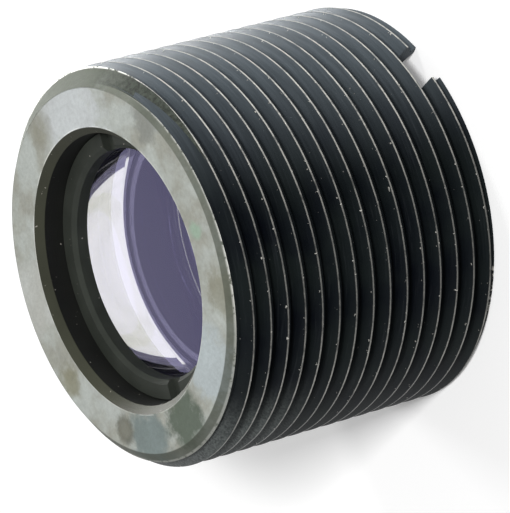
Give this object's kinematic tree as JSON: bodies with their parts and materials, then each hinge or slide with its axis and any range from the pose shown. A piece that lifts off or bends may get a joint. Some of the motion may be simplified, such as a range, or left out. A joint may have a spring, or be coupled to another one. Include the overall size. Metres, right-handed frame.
{
  "type": "collimator lens",
  "caption": "Small collimator lens: a black barrel with a fine outside thread and spanner slots, holding a stack of coated glass elements, spacers and a retaining ring.",
  "frame": {"origin": "centre of the slotted end, on the optical axis, in the plane that the lens stands on", "axes": "+Z along the optical axis from the slotted end to the open end; the two spanner slots lie on the X axis"},
  "size_m": [0.0099, 0.01, 0.0077],
  "materials": {
    "black_barrel": "black anodised, worn bare along the thread crests, grey and satin on the open end",
    "black_ring": "matt black anodised",
    "coated_glass": "polished, with a violet anti-reflection coating"
  },
  "bodies": {
    "root": {"barrel": "black_barrel", "retaining_ring": "black_ring", "front_element": "coated_glass", "front_spacer": "black_ring", "middle_element": "coated_glass", "rear_spacer": "black_ring", "rear_element": "coated_glass"}
  },
  "joints": []
}
